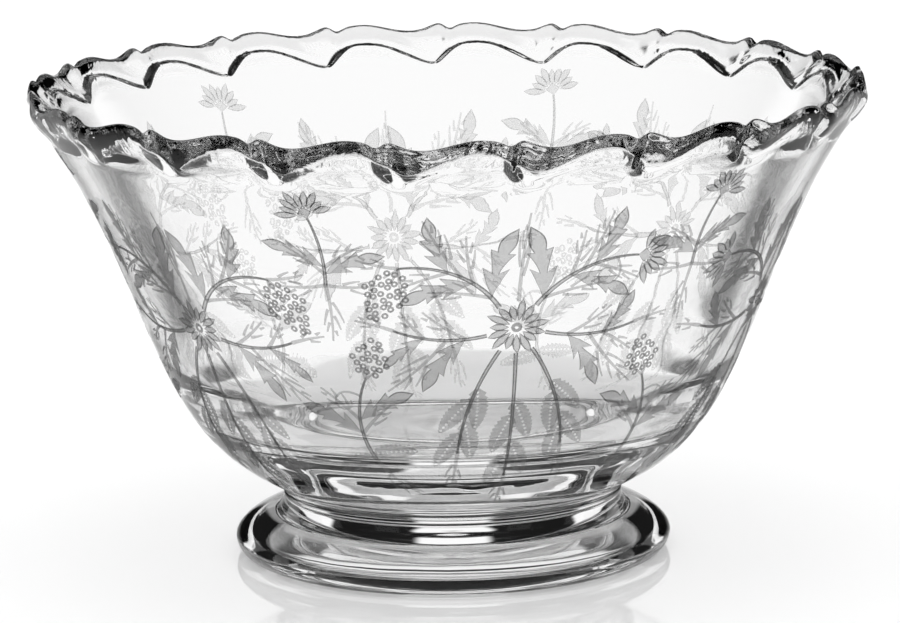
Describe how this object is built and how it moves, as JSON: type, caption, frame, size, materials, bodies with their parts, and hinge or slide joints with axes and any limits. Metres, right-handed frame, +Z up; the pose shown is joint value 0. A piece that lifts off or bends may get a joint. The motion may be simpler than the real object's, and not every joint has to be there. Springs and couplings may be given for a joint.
{
  "type": "snack bowl",
  "caption": "Clear pressed-glass footed snack bowl with a flared wall, a thick base and a wavy crimped rim, standing on a domed round foot.",
  "frame": {"origin": "on the bowl's axis, at the level of the table that the foot stands on", "axes": "+Z up along the bowl's axis; -Y faces the viewer of the picture, +X to the viewer's right"},
  "size_m": [0.2152, 0.2153, 0.1228],
  "materials": {
    "bowl_glass": "fire-polished clear glass, with frosted etched sprays on the outside",
    "neck_glass": "fire-polished clear glass",
    "foot_glass": "fire-polished clear glass with a polished contact ring"
  },
  "bodies": {
    "root": {"bowl": "bowl_glass", "neck_wafer": "neck_glass", "foot": "foot_glass"}
  },
  "joints": []
}
